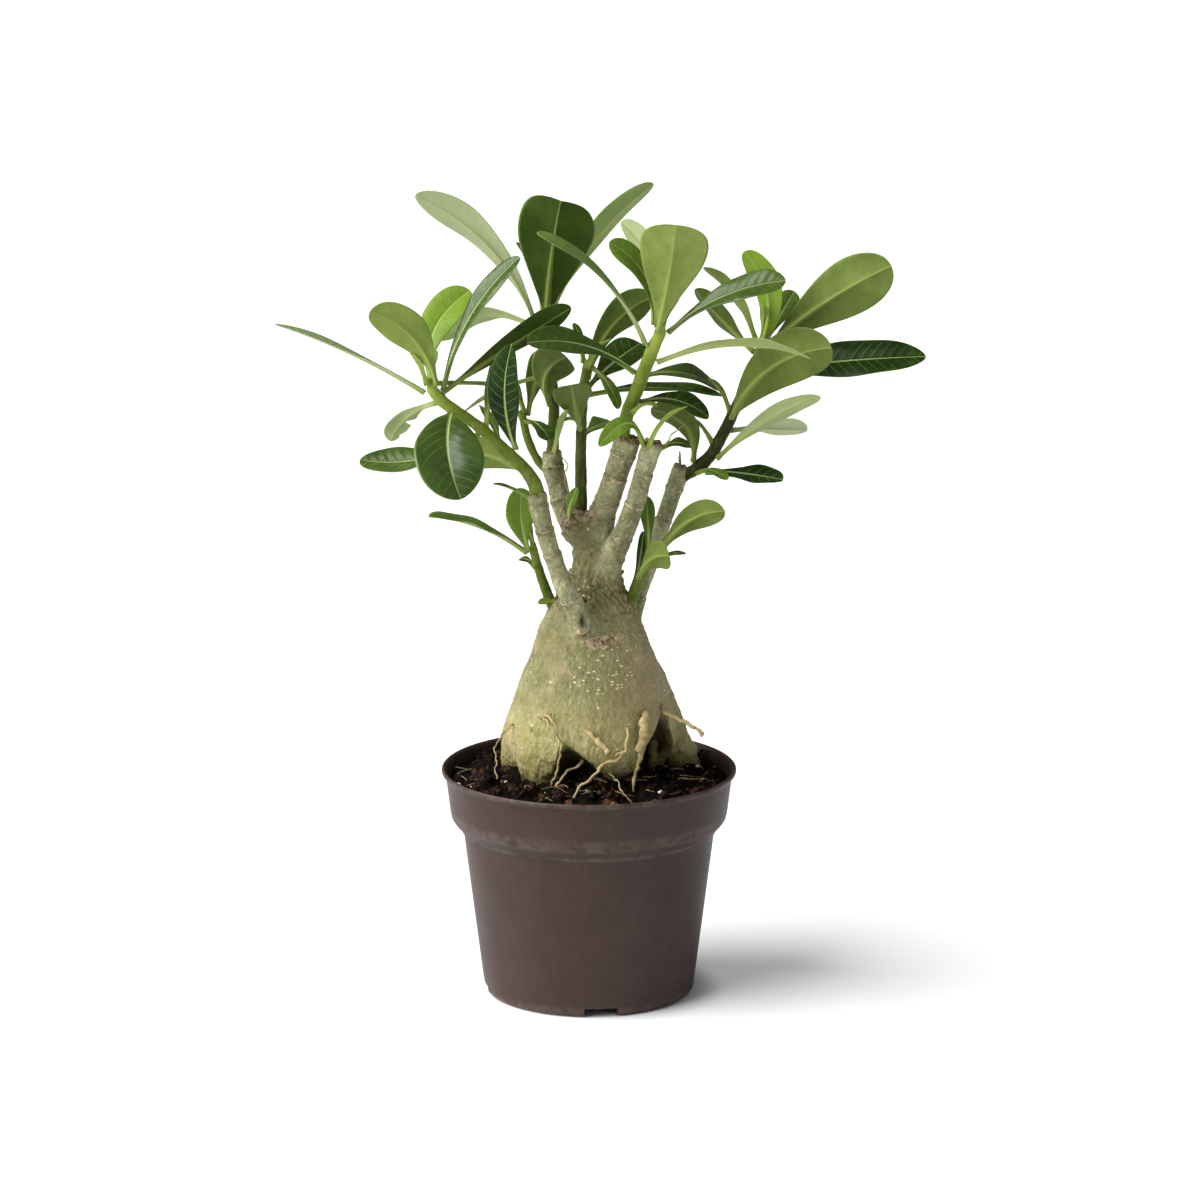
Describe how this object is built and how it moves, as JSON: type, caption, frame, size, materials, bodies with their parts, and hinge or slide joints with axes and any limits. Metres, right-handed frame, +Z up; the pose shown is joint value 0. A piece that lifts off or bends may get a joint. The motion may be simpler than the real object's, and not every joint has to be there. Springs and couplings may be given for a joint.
{
  "type": "potted desert rose plant",
  "caption": "Small potted desert rose with a swollen trunk, cut-back branches, green leafy shoots and aerial roots, standing in soil in a round tapered nursery pot with a deep rim band.",
  "frame": {"origin": "centre of the pot's underside, on the flat face it stands on", "axes": "+Z up, +Y to the plant's back, +X to the plant's right seen from the front"},
  "size_m": [0.258, 0.1303, 0.3311],
  "materials": {
    "pot_plastic": "satin moulded brown plastic",
    "soil": "damp dark potting soil with bark chips and white perlite",
    "bark": "smooth grey-green bark with pale flecks and scars",
    "green_stem": "smooth green young stem, semi-gloss",
    "root": "dry pale tan root",
    "leaf": "leathery leaf, glossy dark green above with pale veins, matte olive green below"
  },
  "bodies": {
    "root": {"aerial_root_front_low": "root", "aerial_root_left_loop": "root", "aerial_root_middle": "root", "aerial_root_thick_right": "root", "caudex": "bark", "leaf_back_left_01": "leaf", "leaf_back_left_02": "leaf", "leaf_back_left_03": "leaf", "leaf_back_left_04": "leaf", "leaf_back_left_05": "leaf", "leaf_centre_01": "leaf", "leaf_centre_02": "leaf", "leaf_centre_03": "leaf", "leaf_centre_04": "leaf", "leaf_front_left_01": "leaf", "leaf_front_left_02": "leaf", "leaf_front_left_03": "leaf", "leaf_front_left_04": "leaf", "leaf_front_left_05": "leaf", "leaf_front_left_06": "leaf", "leaf_front_left_07": "leaf", "leaf_front_left_08": "leaf", "leaf_front_left_09": "leaf", "leaf_front_left_10": "leaf", "leaf_low_left_01": "leaf", "leaf_low_left_02": "leaf", "leaf_low_right_01": "leaf", "leaf_low_right_02": "leaf", "leaf_right_01": "leaf", "leaf_right_02": "leaf", "leaf_right_03": "leaf", "leaf_right_04": "leaf", "leaf_right_05": "leaf", "leaf_right_06": "leaf", "leaf_right_07": "leaf", "leaf_right_08": "leaf", "leaf_right_09": "leaf", "leaf_right_10": "leaf", "leaf_right_limb_01": "leaf", "leaf_small_back_01": "leaf", "leaf_small_back_02": "leaf", "leaf_tall_01": "leaf", "leaf_tall_02": "leaf", "leaf_tall_03": "leaf", "leaf_tall_04": "leaf", "leaf_tall_05": "leaf", "leaf_tall_06": "leaf", "leaf_tall_07": "leaf", "leaf_tall_08": "leaf", "leaf_tall_09": "leaf", "pot": "pot_plastic", "shoot_back_left": "green_stem", "shoot_centre": "green_stem", "shoot_front_left": "green_stem", "shoot_low_left": "green_stem", "shoot_low_right": "green_stem", "shoot_right": "green_stem", "shoot_small_back": "green_stem", "shoot_tall": "green_stem", "soil": "soil"}
  },
  "joints": []
}
